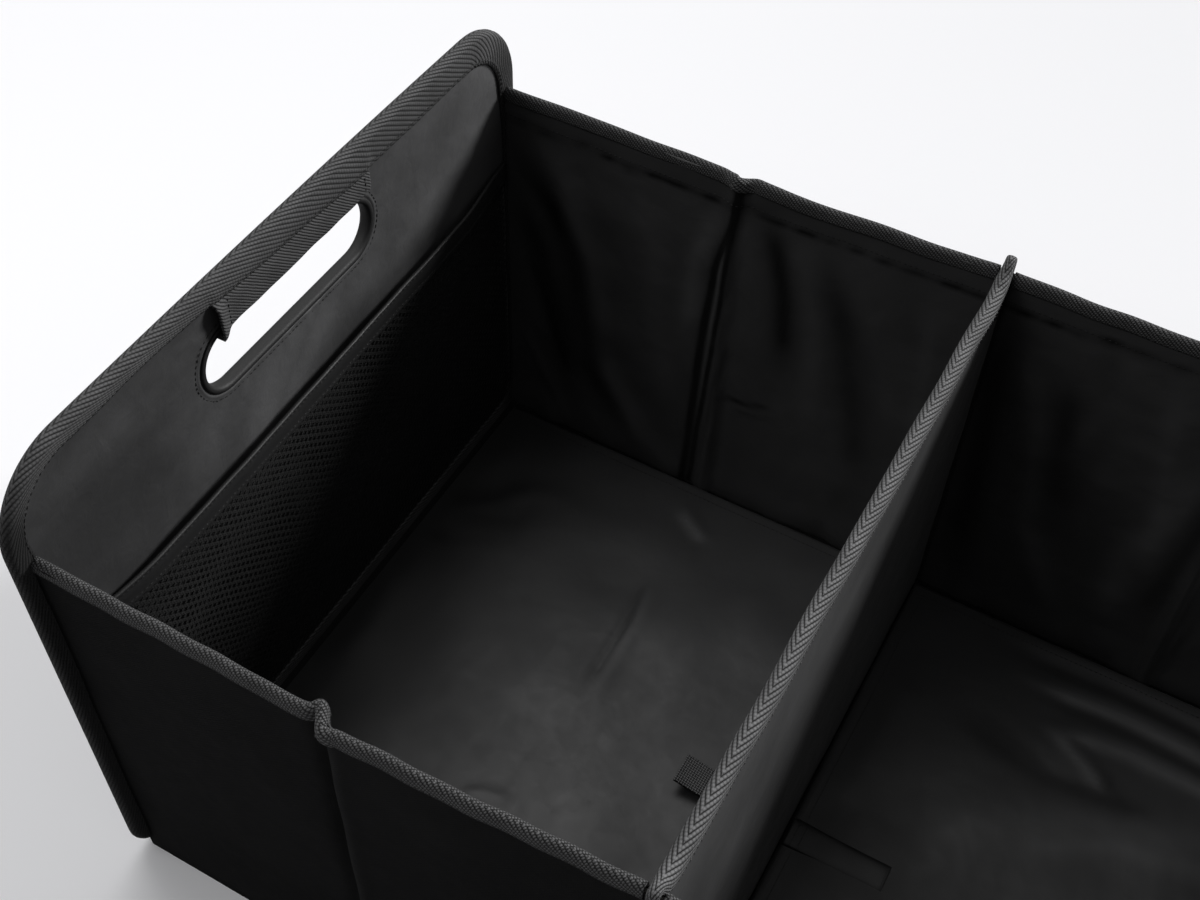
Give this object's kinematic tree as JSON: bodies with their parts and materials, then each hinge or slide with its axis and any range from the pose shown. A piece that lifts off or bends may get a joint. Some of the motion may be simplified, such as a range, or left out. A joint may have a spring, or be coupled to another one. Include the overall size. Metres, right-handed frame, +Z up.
{
  "type": "car trunk organizer",
  "caption": "Soft-sided car trunk organizer with two open bays, stiff rounded end panels with hand slots, mesh pockets, a fixed divider and lift-up base boards.",
  "frame": {"origin": "middle of the underside", "axes": "+X along the length, +Y towards the back wall, +Z up"},
  "size_m": [0.6114, 0.4, 0.3175],
  "materials": {
    "outer_cloth": "matte woven",
    "lining_cloth": "satin woven",
    "herringbone_tape": "coarse herringbone",
    "pocket_net": "fine open net",
    "stiffener_board": "matte"
  },
  "bodies": {
    "case": {"front_wall_cover": "outer_cloth", "front_wall_board_1": "stiffener_board", "front_wall_board_2": "stiffener_board", "front_wall_board_3": "stiffener_board", "front_wall_board_4": "stiffener_board", "front_lining_left": "lining_cloth", "front_binding_left": "herringbone_tape", "front_lining_right": "lining_cloth", "front_binding_right": "herringbone_tape", "back_wall_cover": "outer_cloth", "back_wall_board_1": "stiffener_board", "back_wall_board_2": "stiffener_board", "back_wall_board_3": "stiffener_board", "back_wall_board_4": "stiffener_board", "back_lining_left": "lining_cloth", "back_binding_left": "herringbone_tape", "back_lining_right": "lining_cloth", "back_binding_right": "herringbone_tape", "divider_board": "stiffener_board", "divider_cover_left": "lining_cloth", "divider_cover_right": "lining_cloth", "divider_binding": "herringbone_tape", "left_end_board": "stiffener_board", "left_end_outer_cover": "outer_cloth", "left_end_inner_cover": "lining_cloth", "left_end_binding": "herringbone_tape", "left_slot_trim": "herringbone_tape", "left_handle_grip": "herringbone_tape", "left_pocket_net": "pocket_net", "left_pocket_band": "lining_cloth", "right_end_board": "stiffener_board", "right_end_outer_cover": "outer_cloth", "right_end_inner_cover": "lining_cloth", "right_end_binding": "herringbone_tape", "right_slot_trim": "herringbone_tape", "right_handle_grip": "herringbone_tape", "right_pocket_net": "pocket_net", "right_pocket_band": "lining_cloth", "base_skin": "outer_cloth", "left_hinge_strip": "lining_cloth", "right_hinge_strip": "lining_cloth"},
    "left_base": {"left_base_board": "stiffener_board", "left_base_cover": "lining_cloth", "left_pull_tab": "herringbone_tape"},
    "right_base": {"right_base_board": "stiffener_board", "right_base_cover": "lining_cloth", "right_pull_tab": "herringbone_tape"}
  },
  "joints": [
    {"name": "left_base_lift", "type": "hinge", "parent": "case", "child": "left_base", "pos_m": [-0.292, 0, 0.0063], "axis": [0, -1, 0], "range_deg": [0, 85]},
    {"name": "right_base_lift", "type": "hinge", "parent": "case", "child": "right_base", "pos_m": [0.292, 0, 0.0063], "axis": [0, 1, 0], "range_deg": [0, 85]}
  ]
}
